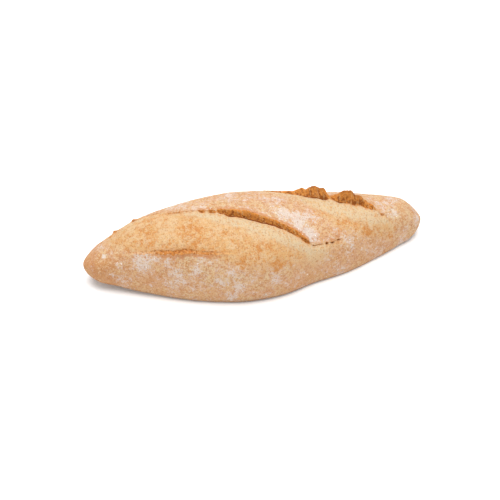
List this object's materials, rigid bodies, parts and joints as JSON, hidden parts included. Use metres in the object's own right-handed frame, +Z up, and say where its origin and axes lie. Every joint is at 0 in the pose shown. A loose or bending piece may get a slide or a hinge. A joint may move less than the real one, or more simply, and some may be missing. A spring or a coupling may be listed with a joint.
{
  "type": "baguette",
  "caption": "Short pointed crusty baguette with slanted slashes that have opened into raised, browned ears, dusted with flour and lying on its flat underside.",
  "frame": {"origin": "on the surface that the loaf lies on, under the middle of its bounding box", "axes": "+X along the loaf to its blunter nose, +Y to the side that the raised ears stand on, +Z up"},
  "size_m": [0.235, 0.0811, 0.0496],
  "materials": {
    "crust": "matt baked bread crust: peach-tan, golden where the slashes opened, orange-brown on the ears, with white flour"
  },
  "bodies": {
    "root": {"loaf": "crust"}
  },
  "joints": []
}
